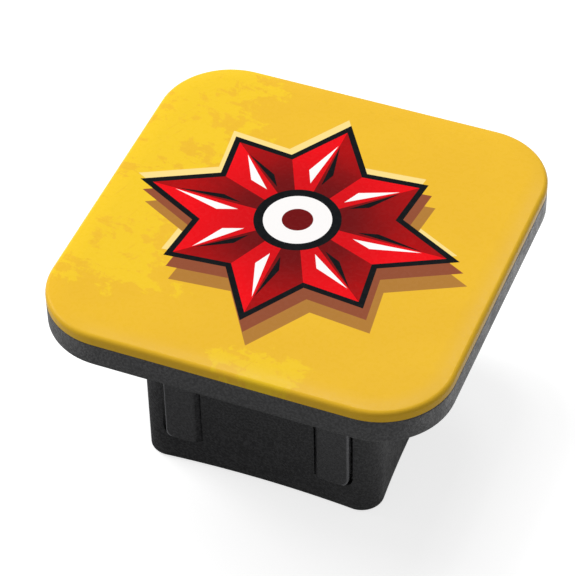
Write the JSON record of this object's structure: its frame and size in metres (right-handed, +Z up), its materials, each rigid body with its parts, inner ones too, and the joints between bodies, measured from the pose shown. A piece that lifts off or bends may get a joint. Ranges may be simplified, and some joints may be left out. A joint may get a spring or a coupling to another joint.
{
  "type": "hitch receiver cover",
  "caption": "Square plug with spring tabs that closes a trailer hitch receiver tube, under a rounded plate with a crowned printed face.",
  "frame": {"origin": "centre of the plug's open end, on which the cover stands", "axes": "+Z up out of the printed face, -Y the wall whose two spring tabs face forward, +X to the right"},
  "size_m": [0.08, 0.08, 0.047],
  "materials": {
    "body_plastic": "moulded, fine sandy grain",
    "face_yellow": "smooth satin gloss over a yellow print",
    "ink_red": "printed, glossy",
    "ink_dark_red": "printed, glossy",
    "ink_black": "printed, glossy",
    "ink_white": "printed, glossy",
    "ink_brown": "printed, glossy",
    "ink_tan": "printed, glossy",
    "ink_cream": "printed, glossy"
  },
  "bodies": {
    "root": {"moulded_body": "body_plastic", "printed_face": "face_yellow", "print_red": "ink_red", "print_dark_red": "ink_dark_red", "print_black": "ink_black", "print_white": "ink_white", "print_near_shadow": "ink_brown", "print_far_shadow": "ink_tan", "print_light_edge": "ink_cream"}
  },
  "joints": []
}
